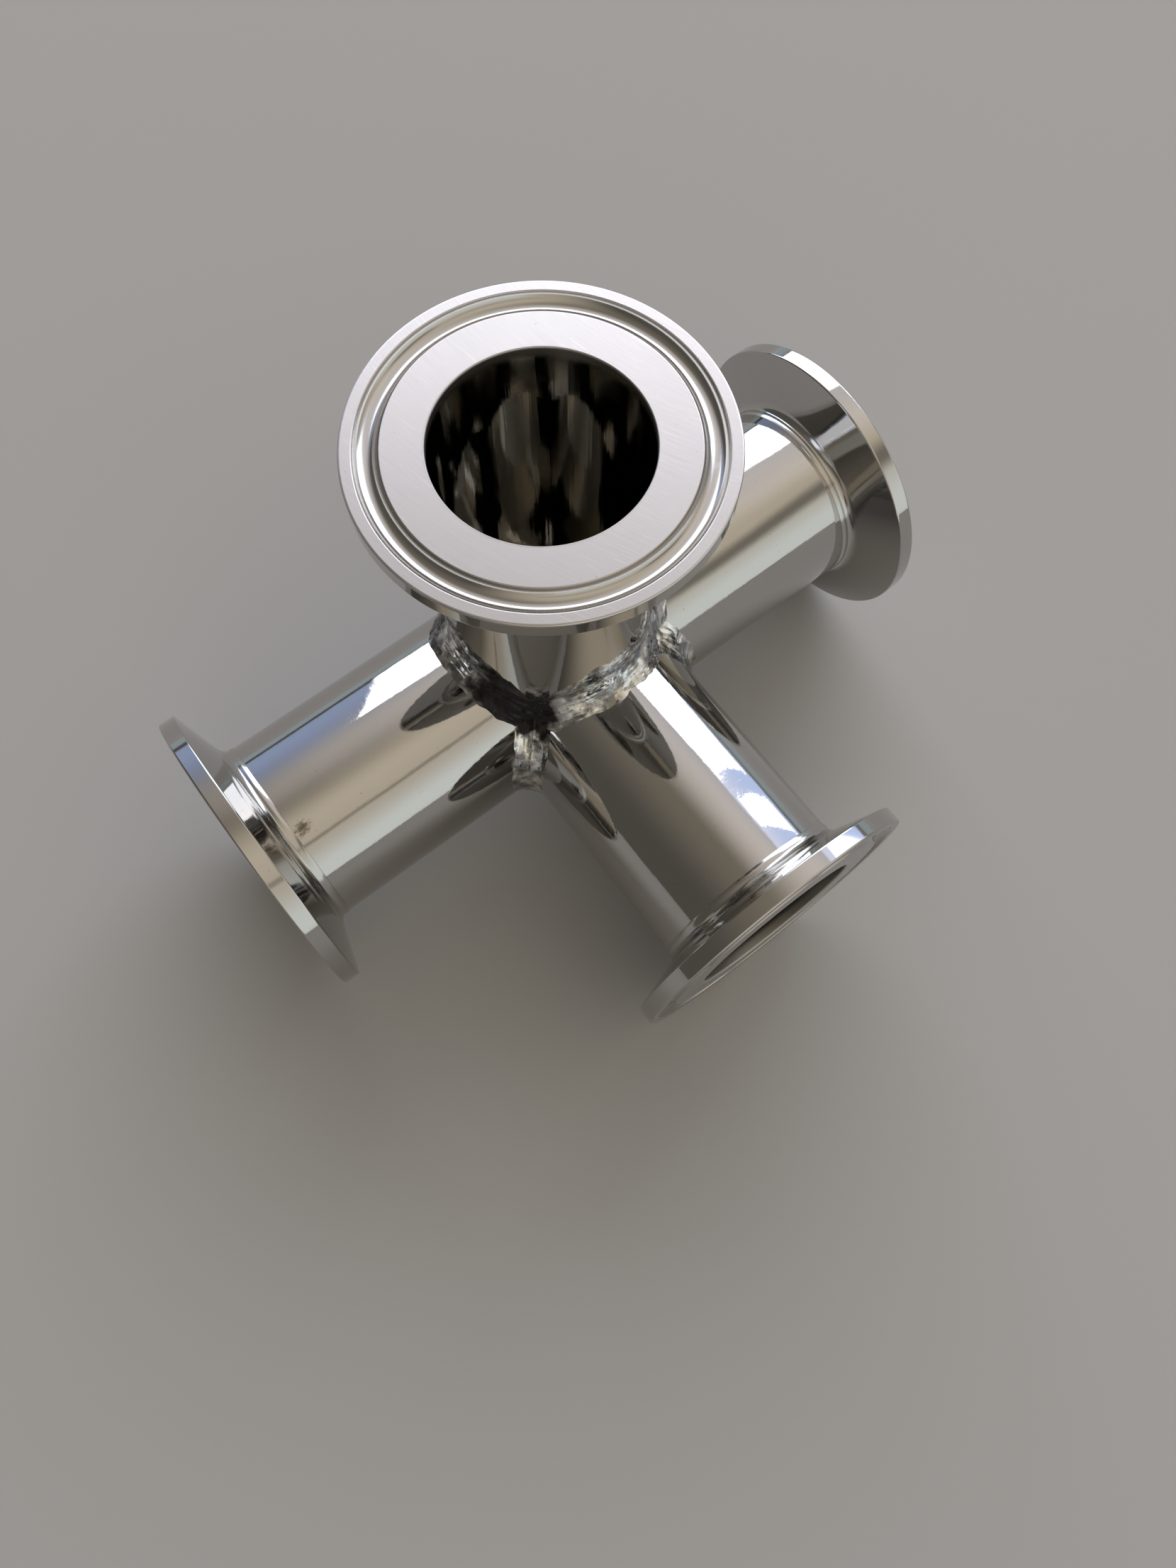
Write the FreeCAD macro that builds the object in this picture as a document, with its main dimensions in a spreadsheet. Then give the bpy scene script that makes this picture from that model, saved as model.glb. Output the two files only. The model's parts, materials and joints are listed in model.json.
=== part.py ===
# Four-way clamp fitting: a straight run tube, a branch out of its front and a
# riser out of its top, all of one tube size, with a clamp ferrule on each port.
# Millimetres, +Z up. The origin is the hub centre, where the three tube axes
# cross. The run lies along X, the branch points along -Y and the riser along +Z.
import FreeCAD, Part
import math
import os
import Sketcher

# Driving sizes

SIZES = [
    ("tube_outside_diameter", 32.0),
    ("tube_wall", 1.5),
    ("port_reach", 59.5),
    ("ferrule_diameter", 50.5),
    ("rim_thickness", 2.7),
    ("rim_edge_radius", 0.3),
    ("back_angle", 17.0),
    ("foot_radius", 0.6),
    ("bore_lip_radius", 0.25),
    ("groove_diameter", 43.75),
    ("groove_width", 3.35),
    ("groove_depth", 1.4),
    ("ring_bead_half_width", 0.8),
    ("ring_bead_height", 0.4),
    ("seam_bead_leg", 3.2),
    ("seam_bead_crown", 0.35),
    ("seam_bead_half_width", 3.4),
]

# Expressions that the features share

TUBE_RADIUS = "Sizes.tube_outside_diameter / 2"
BORE_RADIUS = "(Sizes.tube_outside_diameter / 2 - Sizes.tube_wall)"
RIM_RADIUS = "Sizes.ferrule_diameter / 2"
CONE_DROP = "((Sizes.ferrule_diameter - Sizes.tube_outside_diameter) / 2 * tan(Sizes.back_angle))"
FOOT_TANGENT = "(Sizes.foot_radius * tan(45 - Sizes.back_angle / 2))"
NECK_LENGTH = f"(Sizes.rim_thickness + {CONE_DROP} + {FOOT_TANGENT} + Sizes.ring_bead_half_width)"
TUBE_REACH = f"(Sizes.port_reach - {NECK_LENGTH})"
GROOVE_RADIUS = "((Sizes.groove_width ^ 2 / 4 + Sizes.groove_depth ^ 2) / (2 * Sizes.groove_depth))"
BEAD_RADIUS = "((Sizes.ring_bead_half_width ^ 2 + Sizes.ring_bead_height ^ 2) / (2 * Sizes.ring_bead_height))"

# Directions of the four ports, as the turn of a fitting drawn pointing up

X_AXIS = FreeCAD.Vector(1, 0, 0)
Y_AXIS = FreeCAD.Vector(0, 1, 0)
Z_AXIS = FreeCAD.Vector(0, 0, 1)
PORTS = {
    "left": FreeCAD.Rotation(Y_AXIS, -90),
    "right": FreeCAD.Rotation(Y_AXIS, 90),
    "front": FreeCAD.Rotation(X_AXIS, 90),
    "top": FreeCAD.Rotation(X_AXIS, 0),
}

doc = FreeCAD.newDocument("four_way_clamp_fitting")
sheet = doc.addObject("Spreadsheet::Sheet", "Sizes")
for row, (alias, value) in enumerate(SIZES, start=1):
    sheet.set(f"A{row}", alias.replace("_", " "))
    sheet.set(f"B{row}", str(value))
    sheet.setAlias(f"B{row}", alias)
doc.recompute()


# Sketch helpers

def new_body(name):
    """An empty body that is to become one sub-part."""
    body = doc.addObject("PartDesign::Body", name)
    body.Label = name
    return body


def new_sketch(body, name, plane_role):
    """A sketch attached to one of the body's own origin planes."""
    sketch = body.newObject("Sketcher::SketchObject", f"{body.Name}_{name}")
    plane = next(item for item in body.Origin.OriginFeatures if item.Role == plane_role)
    sketch.AttachmentSupport = [(plane, "")]
    sketch.MapMode = "FlatFace"
    return sketch


def constrain(sketch, kind, *places, value=None, expression=None):
    """One constraint, with its size bound to an expression where it has one."""
    if value is None:
        index = sketch.addConstraint(Sketcher.Constraint(kind, *places))
    else:
        index = sketch.addConstraint(Sketcher.Constraint(kind, *places, value))
    if expression:
        sketch.setExpression(f"Constraints[{index}]", expression)
    return index


def closed_outline(sketch, points):
    """Straight lines through the points, joined end to end."""
    count = len(points)
    for index in range(count):
        start = FreeCAD.Vector(*points[index], 0)
        end = FreeCAD.Vector(*points[(index + 1) % count], 0)
        sketch.addGeometry(Part.LineSegment(start, end), False)
    for index in range(count):
        constrain(sketch, "Coincident", index, 2, (index + 1) % count, 1)


def round_edges(body, name, radius, places):
    """A fillet along the round edges at the given (radius, height) places."""
    base = body.Tip
    names = []
    for number, edge in enumerate(base.Shape.Edges, start=1):
        curve = edge.Curve
        if not isinstance(curve, Part.Circle):
            continue
        for edge_radius, height in places:
            if abs(curve.Radius - edge_radius) < 1e-4 and abs(curve.Center.z - height) < 1e-4:
                names.append(f"Edge{number}")
    if len(names) != len(places):
        raise RuntimeError(f"{body.Name} {name}: {len(names)} edges for {len(places)} places")
    fillet = body.newObject("PartDesign::Fillet", f"{body.Name}_{name}")
    fillet.Base = (base, names)
    fillet.setExpression("Radius", f"Sizes.{radius}")
    doc.recompute()


# Sizes worked out for starting positions and for finding edges

tube_radius = sheet.tube_outside_diameter / 2
bore_radius = tube_radius - sheet.tube_wall
rim_radius = sheet.ferrule_diameter / 2
back_angle = math.radians(sheet.back_angle)
reach = sheet.port_reach
cone_foot = reach - sheet.rim_thickness - (rim_radius - tube_radius) * math.tan(back_angle)
foot_tangent = sheet.foot_radius * math.tan(math.pi / 4 - back_angle / 2)
tube_reach = cone_foot - foot_tangent - sheet.ring_bead_half_width


# Tubes

def tube(name, plane_role, both_ways, reverse, cuts):
    """A tube square to a plane through the hub, with a V cut towards each tube
    that it meets. The V is a right angle with its point on the hub centre, so
    each cut face is a 45 degree mitre."""
    body = new_body(name)
    section = new_sketch(body, "section", plane_role)
    for radius, expression in ((tube_radius, TUBE_RADIUS), (bore_radius, BORE_RADIUS)):
        ring = section.addGeometry(Part.Circle(FreeCAD.Vector(0, 0, 0), Z_AXIS, radius), False)
        constrain(section, "Coincident", ring, 3, -1, 1)
        constrain(section, "Radius", ring, value=radius, expression=expression)
    pad = body.newObject("PartDesign::Pad", f"{name}_length")
    pad.Profile = section
    if both_ways:
        pad.SideType = "Symmetric"
        pad.setExpression("Length", f"2 * {TUBE_REACH}")
    else:
        pad.Reversed = reverse
        pad.setExpression("Length", TUBE_REACH)
    doc.recompute()
    for cut_name, cut_plane, direction in cuts:
        mitre(body, cut_name, cut_plane, direction)
    return body


def mitre(body, name, plane_role, direction):
    """A V cut through the body. direction is the way it opens in the sketch."""
    along = FreeCAD.Vector(*direction, 0)
    across = FreeCAD.Vector(-along.y, along.x, 0)
    depth = 2 * tube_radius
    left_end = (along + across) * depth
    right_end = (along - across) * depth
    sketch = new_sketch(body, name, plane_role)
    closed_outline(sketch, [(0, 0), (left_end.x, left_end.y), (right_end.x, right_end.y)])
    constrain(sketch, "Coincident", 0, 1, -1, 1)
    constrain(sketch, "Perpendicular", 0, 2)
    constrain(sketch, "Equal", 0, 2)
    if direction[0] == 0:
        constrain(sketch, "Horizontal", 1)
    else:
        constrain(sketch, "Vertical", 1)
    constrain(sketch, "Distance", 1, value=2 * depth, expression="2 * Sizes.tube_outside_diameter")
    pocket = body.newObject("PartDesign::Pocket", f"{body.Name}_{name}_cut")
    pocket.Profile = sketch
    pocket.SideType = "Symmetric"
    pocket.Type = "ThroughAll"
    doc.recompute()


def make_tubes():
    """The run is whole from port to port. The branch sits in its front and the
    riser in its top and in the branch."""
    run = tube("run_tube", "YZ_Plane", True, False, [
        ("riser_seat", "XZ_Plane", (0, 1)),
        ("branch_seat", "XY_Plane", (0, -1)),
    ])
    branch = tube("branch_tube", "XZ_Plane", False, False, [
        ("right_side", "XY_Plane", (1, 0)),
        ("left_side", "XY_Plane", (-1, 0)),
        ("riser_side", "YZ_Plane", (0, 1)),
    ])
    riser = tube("riser_tube", "XY_Plane", False, False, [
        ("right_side", "XZ_Plane", (1, 0)),
        ("left_side", "XZ_Plane", (-1, 0)),
        ("branch_side", "YZ_Plane", (-1, 0)),
    ])
    return [run, branch, riser]


# Clamp ferrules

def ferrule(port, turn):
    """A turned clamp ferrule, drawn pointing up with its sealing face at the
    port's reach: a flat face with a round gasket groove, a plain rim, a back
    cone for the clamp and a short neck that butts against the tube."""
    body = new_body(f"{port}_ferrule")
    profile = new_sketch(body, "profile", "XZ_Plane")
    closed_outline(profile, [
        (bore_radius, tube_reach),
        (bore_radius, reach),
        (rim_radius, reach),
        (rim_radius, reach - sheet.rim_thickness),
        (tube_radius, cone_foot),
        (tube_radius, tube_reach),
    ])
    bore_side, face, rim, cone, neck, butt = range(6)
    for line in (bore_side, rim, neck):
        constrain(profile, "Vertical", line)
    for line in (face, butt):
        constrain(profile, "Horizontal", line)
    constrain(profile, "DistanceX", -1, 1, bore_side, 1, value=bore_radius, expression=BORE_RADIUS)
    constrain(profile, "DistanceX", -1, 1, rim, 1, value=rim_radius, expression=RIM_RADIUS)
    constrain(profile, "DistanceX", -1, 1, neck, 1, value=tube_radius, expression=TUBE_RADIUS)
    constrain(profile, "DistanceY", -1, 1, face, 1, value=reach, expression="Sizes.port_reach")
    constrain(profile, "DistanceY", rim, 2, rim, 1,
              value=sheet.rim_thickness, expression="Sizes.rim_thickness")
    constrain(profile, "DistanceY", cone, 2, cone, 1,
              value=reach - sheet.rim_thickness - cone_foot, expression=CONE_DROP)
    constrain(profile, "DistanceY", bore_side, 1, bore_side, 2,
              value=reach - tube_reach, expression=NECK_LENGTH)
    turned = body.newObject("PartDesign::Revolution", f"{body.Name}_turned")
    turned.Profile = profile
    turned.ReferenceAxis = (profile, ["V_Axis"])
    turned.Angle = 360
    doc.recompute()
    round_edges(body, "foot", "foot_radius", [(tube_radius, cone_foot)])
    round_edges(body, "rim_edges", "rim_edge_radius",
                [(rim_radius, reach), (rim_radius, reach - sheet.rim_thickness)])
    round_edges(body, "bore_lip", "bore_lip_radius", [(bore_radius, reach)])
    gasket_groove(body)
    body.Placement = FreeCAD.Placement(FreeCAD.Vector(0, 0, 0), turn)
    return body


def gasket_groove(body):
    """The round groove in the sealing face that the gasket's bead sits in."""
    depth = sheet.groove_depth
    radius = ((sheet.groove_width / 2) ** 2 + depth ** 2) / (2 * depth)
    centre = FreeCAD.Vector(sheet.groove_diameter / 2, reach - depth + radius, 0)
    sketch = new_sketch(body, "groove_section", "XZ_Plane")
    ring = sketch.addGeometry(Part.Circle(centre, Z_AXIS, radius), False)
    constrain(sketch, "Radius", ring, value=radius, expression=GROOVE_RADIUS)
    constrain(sketch, "DistanceX", -1, 1, ring, 3,
              value=centre.x, expression="Sizes.groove_diameter / 2")
    constrain(sketch, "DistanceY", -1, 1, ring, 3, value=centre.y,
              expression=f"Sizes.port_reach - Sizes.groove_depth + {GROOVE_RADIUS}")
    groove = body.newObject("PartDesign::Groove", f"{body.Name}_gasket_groove")
    groove.Profile = sketch
    groove.ReferenceAxis = (sketch, ["V_Axis"])
    groove.Angle = 360
    doc.recompute()


def ring_bead(port, turn):
    """The polished weld bead round the joint of a ferrule and its tube: a low
    rounded ring that straddles the joint."""
    half_width = sheet.ring_bead_half_width
    height = sheet.ring_bead_height
    radius = (half_width ** 2 + height ** 2) / (2 * height)
    centre = FreeCAD.Vector(tube_radius + height - radius, tube_reach, 0)
    spread = math.asin(half_width / radius)
    body = new_body(f"{port}_ferrule_weld")
    section = new_sketch(body, "section", "XZ_Plane")
    crest = section.addGeometry(
        Part.ArcOfCircle(Part.Circle(centre, Z_AXIS, radius), -spread, spread), False)
    low_end = FreeCAD.Vector(tube_radius, tube_reach - half_width, 0)
    high_end = FreeCAD.Vector(tube_radius, tube_reach + half_width, 0)
    seat = section.addGeometry(Part.LineSegment(high_end, low_end), False)
    constrain(section, "Coincident", crest, 2, seat, 1)
    constrain(section, "Coincident", crest, 1, seat, 2)
    constrain(section, "Vertical", seat)
    constrain(section, "DistanceX", -1, 1, seat, 1, value=tube_radius, expression=TUBE_RADIUS)
    constrain(section, "DistanceY", -1, 1, seat, 2, value=low_end.y,
              expression=f"{TUBE_REACH} - Sizes.ring_bead_half_width")
    constrain(section, "DistanceY", seat, 2, seat, 1, value=2 * half_width,
              expression="2 * Sizes.ring_bead_half_width")
    constrain(section, "Radius", crest, value=radius, expression=BEAD_RADIUS)
    turned = body.newObject("PartDesign::Revolution", f"{body.Name}_turned")
    turned.Profile = section
    turned.ReferenceAxis = (section, ["V_Axis"])
    turned.Angle = 360
    doc.recompute()
    body.Placement = FreeCAD.Placement(FreeCAD.Vector(0, 0, 0), turn)
    return body


# Seam beads at the hub

def core(name, direction, turn):
    """The full round of one tube, both ways from the hub, to seat beads on."""
    solid = doc.addObject("Part::Cylinder", name)
    solid.Placement = FreeCAD.Placement(FreeCAD.Vector(0, 0, 0), turn)
    solid.setExpression("Radius", TUBE_RADIUS)
    solid.setExpression("Height", f"2 * {TUBE_REACH}")
    for axis in "xyz":
        solid.setExpression(f"Placement.Base.{axis}", f"{-getattr(direction, axis)} * {TUBE_REACH}")
    return solid


def seam_ridge(name, first, second):
    """The bead of one seam before it is seated. Two equal tubes meet in half an
    ellipse on the plane halfway between them. A slightly larger ellipse on that
    plane is the bead's ridge, and from it the bead slopes down on both sides to
    ellipses that lie under the tubes' skin, so it fills the corner as far as
    its leg and fades out where the tubes run into each other."""
    outward = (first + second).normalize()
    along = first.cross(second)
    square = outward.cross(along)
    turn = FreeCAD.Rotation(outward, along, square, "XYZ")
    slope = "Sizes.seam_bead_crown / Sizes.seam_bead_half_width"
    ridge_major = f"({TUBE_RADIUS} * 2 + Sizes.seam_bead_leg * (1 + {slope})) / sqrt(2)"
    ridge_minor = f"{TUBE_RADIUS} + Sizes.seam_bead_crown"
    ellipses = []
    for place, side, sunk in (("low", -1, 1), ("ridge", 0, 0), ("high", 1, 1)):
        ellipse = doc.addObject("Part::Ellipse", f"{name}_{place}")
        ellipse.Placement = FreeCAD.Placement(FreeCAD.Vector(0, 0, 0), turn)
        ellipse.setExpression("MajorRadius", f"{ridge_major} - {2 * sunk} * Sizes.seam_bead_crown")
        ellipse.setExpression("MinorRadius", f"{ridge_minor} - {2 * sunk} * Sizes.seam_bead_crown")
        for axis in "xyz":
            shift = round(2 * side * getattr(square, axis), 12)
            ellipse.setExpression(f"Placement.Base.{axis}", f"{shift} * Sizes.seam_bead_half_width")
        ellipses.append(ellipse)
    loft = doc.addObject("Part::Loft", name)
    loft.Sections = ellipses
    loft.Solid = True
    loft.Ruled = True
    return loft


def sector(name, corners, turn):
    """A wedge of space with its edge on a tube axis, from the hub centre
    outward. Its corners are given in tube diameters."""
    sketch = doc.addObject("Sketcher::SketchObject", f"{name}_outline")
    sketch.Placement = FreeCAD.Placement(FreeCAD.Vector(0, 0, 0), turn)
    diameter = sheet.tube_outside_diameter
    closed_outline(sketch, [(x * diameter, y * diameter) for x, y in corners])
    for index, corner in enumerate(corners):
        for kind, axis, share in (("DistanceX", -2, corner[0]), ("DistanceY", -1, corner[1])):
            if share == 0:
                constrain(sketch, "PointOnObject", index, 1, axis)
                continue
            ends = (-1, 1, index, 1) if share > 0 else (index, 1, -1, 1)
            constrain(sketch, kind, *ends, value=abs(share) * diameter,
                      expression=f"{abs(share)} * Sizes.tube_outside_diameter")
    wedge = doc.addObject("Part::Extrusion", name)
    wedge.Base = sketch
    wedge.DirMode = "Normal"
    wedge.Solid = True
    wedge.setExpression("LengthFwd", "4 * Sizes.tube_outside_diameter")
    return wedge


def seam_bead(name, first, second, tubes, corners, turn):
    """One seam's bead, cut to the seam's own sector of the hub and then by the
    two tubes that it joins."""
    bead = doc.addObject("Part::Common", f"{name}_share")
    bead.Refine = False
    bead.Base = seam_ridge(f"{name}_ridge", first, second)
    bead.Tool = sector(f"{name}_sector", corners, turn)
    for tube_core in tubes:
        seated = doc.addObject("Part::Cut", f"{name}_on_{tube_core.Name}")
        seated.Refine = False
        seated.Base = bead
        seated.Tool = tube_core
        bead = seated
    return bead


def seam_beads():
    """The riser's bead runs down into the run on both sides and across the
    branch. The branch's bead runs under the hub and ends against the riser's."""
    left = -X_AXIS
    right = X_AXIS
    front = -Y_AXIS
    top = Z_AXIS
    upright = FreeCAD.Rotation()
    forward = FreeCAD.Rotation(X_AXIS, 90)
    run = core("run_core", right, FreeCAD.Rotation(Y_AXIS, 90))
    branch = core("branch_core", front, forward)
    riser = core("riser_core", top, upright)
    riser_bead = doc.addObject("Part::MultiFuse", "riser_weld")
    riser_bead.Refine = False
    riser_bead.Shapes = [
        seam_bead("riser_left", top, left, (run, riser),
                  [(0, 0), (-2, -2), (-2, 2), (0, 2)], upright),
        seam_bead("riser_front", front, top, (branch, riser),
                  [(0, 0), (-2, -2), (2, -2)], upright),
        seam_bead("riser_right", right, top, (run, riser),
                  [(0, 0), (2, -2), (2, 2), (0, 2)], upright),
    ]
    branch_whole = doc.addObject("Part::MultiFuse", "branch_bead_whole")
    branch_whole.Refine = False
    branch_whole.Shapes = [
        seam_bead("branch_left", left, front, (run, branch),
                  [(0, 0), (-2, 2), (-2, -2), (0, -2)], forward),
        seam_bead("branch_right", front, right, (run, branch),
                  [(0, 0), (2, 2), (2, -2), (0, -2)], forward),
    ]
    branch_bead = doc.addObject("Part::Cut", "branch_weld")
    branch_bead.Refine = False
    branch_bead.Base = branch_whole
    branch_bead.Tool = riser_bead
    doc.recompute()
    riser_bead.Label = "riser_weld"
    branch_bead.Label = "branch_weld"
    return [riser_bead, branch_bead]


def check_and_write(pieces):
    """Every object is sound and every piece is one valid solid, or nothing is
    written."""
    for item in doc.Objects:
        if "Invalid" in item.State or "Error" in item.State:
            raise RuntimeError(f"{item.Name} failed: {item.State}")
    for piece in pieces:
        shape = piece.Shape
        if shape.isNull() or not shape.isValid() or shape.Volume <= 0:
            raise RuntimeError(f"{piece.Label} has no valid solid")
    os.makedirs("parts", exist_ok=True)
    for piece in pieces:
        piece.Shape.exportStep(os.path.join("parts", f"{piece.Label}.step"))
        size = piece.Shape.BoundBox
        print(f"{piece.Label}: {len(piece.Shape.Solids)} solid, {piece.Shape.Volume:.1f} mm3, "
              f"x {size.XMin:.2f} to {size.XMax:.2f}, y {size.YMin:.2f} to {size.YMax:.2f}, "
              f"z {size.ZMin:.2f} to {size.ZMax:.2f}")


pieces = make_tubes()
for port, turn in PORTS.items():
    pieces.append(ferrule(port, turn))
    pieces.append(ring_bead(port, turn))
pieces += seam_beads()
doc.recompute()
check_and_write(pieces)
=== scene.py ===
import json
import math

import bmesh
import bpy
import numpy as np
from bpy.props import FloatProperty, FloatVectorProperty, IntProperty, PointerProperty
from mathutils import Matrix, Quaternion, Vector, noise


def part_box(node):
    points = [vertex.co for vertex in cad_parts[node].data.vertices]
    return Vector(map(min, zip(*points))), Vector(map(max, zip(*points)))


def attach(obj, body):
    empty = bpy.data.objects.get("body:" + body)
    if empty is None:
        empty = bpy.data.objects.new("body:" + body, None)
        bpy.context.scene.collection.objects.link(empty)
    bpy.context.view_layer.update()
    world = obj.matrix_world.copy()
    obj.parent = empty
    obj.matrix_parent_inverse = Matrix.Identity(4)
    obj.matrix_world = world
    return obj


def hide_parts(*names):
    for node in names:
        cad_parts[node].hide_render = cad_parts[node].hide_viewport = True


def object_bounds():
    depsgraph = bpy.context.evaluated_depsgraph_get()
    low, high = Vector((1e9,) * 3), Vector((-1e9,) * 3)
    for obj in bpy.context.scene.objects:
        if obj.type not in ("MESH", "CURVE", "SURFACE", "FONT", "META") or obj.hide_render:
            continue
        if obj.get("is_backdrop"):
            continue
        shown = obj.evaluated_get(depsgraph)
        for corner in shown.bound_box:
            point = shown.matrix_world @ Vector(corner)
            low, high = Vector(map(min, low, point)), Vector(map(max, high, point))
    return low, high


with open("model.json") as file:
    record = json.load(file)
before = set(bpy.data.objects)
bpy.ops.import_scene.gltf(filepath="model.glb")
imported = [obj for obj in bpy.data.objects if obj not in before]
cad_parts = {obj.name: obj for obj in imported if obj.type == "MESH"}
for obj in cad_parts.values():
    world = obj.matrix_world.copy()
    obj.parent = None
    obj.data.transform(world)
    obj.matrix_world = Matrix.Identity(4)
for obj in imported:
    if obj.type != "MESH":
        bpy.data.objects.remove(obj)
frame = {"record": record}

bl_info = {
    "name": "Polished Four-Way Fitting",
    "version": (1, 0, 0),
    "blender": (4, 5, 0),
    "location": "3D View > Sidebar > Fitting",
    "description": "Builds the looks of a four-way clamp fitting round its packed solids",
    "category": "Add Mesh",
}

MM = 0.001
TOUCHING = 0.0001 * MM

# Edges sharper than this stay hard in the shading, in degrees. The uneven welds
# keep only their sharpest ones.
SHARP_EDGE = 35
SHARP_WELD_EDGE = 60

# Colours of marks and dirt on the steel, and the near black of the painted shade on the hub welds

SMUDGED_TUBE = (0.50, 0.49, 0.47, 1.0)
SMUDGED_FERRULE = (0.52, 0.51, 0.48, 1.0)
TUBE_SPECK = (0.16, 0.15, 0.14, 1.0)
FERRULE_SPECK = (0.15, 0.14, 0.13, 1.0)
SCUFFED = (0.10, 0.085, 0.065, 1.0)
SCRATCHED_SATIN = (0.49, 0.475, 0.48, 1.0)
MARKED_SATIN = (0.70, 0.69, 0.70, 1.0)
WELD_RIDGE = (0.76, 0.76, 0.74, 1.0)
WELD_PIT = (0.06, 0.06, 0.06, 1.0)
# Painted shade: near black for patches on the hub welds, standing in for the dark that the welds
# mirror there
PAINTED_SHADE_BLACK = (0.012, 0.010, 0.012, 1.0)

# Depths of marks that only tilt the light

WAVER_DEPTH = 0.06 * MM
DRAWN_DEPTH = 0.022 * MM
PEEL_DEPTH = 0.004 * MM
LINE_DEPTH = 0.0022 * MM
RING_DEPTH = 0.00012 * MM
SCRATCH_DEPTH = 0.006 * MM
LUMP_DEPTH = 0.16 * MM
STROKE_DEPTH = 0.08 * MM

# Specular level of the metals and the floor
GLOSS = 0.2

# How far apart the marks of two seeds are taken from
SEED_STEP = 0.37

# Places, each in its own piece's directions. The scuff lies on the run beside the left ferrule and
# is drawn out along the tube. The long scratches on a sealing face run round their own centre. Each
# patch of painted shade on a hub weld, near black where the weld mirrors dark surroundings, has a
# middle, a reach and a fade.

SCUFF_PLACE = (-6.5 * MM, 14.6 * MM, -50.7 * MM)
SCUFF_SQUASH = 0.6
SCRATCH_CENTRE = (87.0 * MM, 26.0 * MM)
RISER_PAINTED_SHADES = (((-13.0 * MM, -8.5 * MM, 13.0 * MM), 6.0 * MM, 4.5 * MM),
               ((-13.0 * MM, 11.0 * MM, 13.0 * MM), 4.0 * MM, 3.0 * MM))
BRANCH_PAINTED_SHADES = (((-11.3 * MM, 12.0 * MM, 11.3 * MM), 3.8 * MM, 1.2 * MM),)

# The camera, as fitted to the fitting's rims and tubes

LENS = 26.867
SENSOR_WIDTH = 36.0
CAMERA_PLACE = (-50.111 * MM, -72.189 * MM, 182.092 * MM)
CAMERA_RIGHT = (0.793268, -0.608743, 0.01257)
CAMERA_DOWN = (-0.571028, -0.750968, -0.331624)
CAMERA_FORWARD = (0.211313, 0.255889, -0.943328)

# The window panes: middle, width, bottom, top and lean, all in degrees as seen from
# the fitting. The middle is counted from straight in front, towards +X.

PANES = ((93.3, 3.0, 7.5, 42, -6), (99.3, 2.4, 13, 45, -6), (105.5, 6.0, 12, 46, -6),
         (139.8, 67.6, 9, 51, 0))
PANE_DISTANCE = 4.0
PANE_COLOUR = (0.97, 0.98, 1.0)

# Directions of the pale front wall and of the glow above the windows

FRONT_WALL = (0.20, -0.93, 0.30)
GLOW = (0.60, 0.45, 0.66)


def mount_radius(name):
    """The radius of one of the record's mounts."""
    mount = next(item for item in frame["record"]["mounts"] if item["name"] == name)
    return mount["dims"]["r_mm"] * MM


# Turns from a piece drawn along its own +Z to the four ports

def turn_to(across, up, along):
    """The rotation whose columns are the piece's own three directions."""
    return Matrix((across, up, along)).transposed().to_4x4()


TURNS = {
    "top": turn_to((1, 0, 0), (0, 1, 0), (0, 0, 1)),
    "front": turn_to((1, 0, 0), (0, 0, 1), (0, -1, 0)),
    "right": turn_to((0, 1, 0), (0, 0, 1), (1, 0, 0)),
    "left": turn_to((0, -1, 0), (0, 0, 1), (-1, 0, 0)),
}


# Sizes and colours that a user may change

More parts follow.
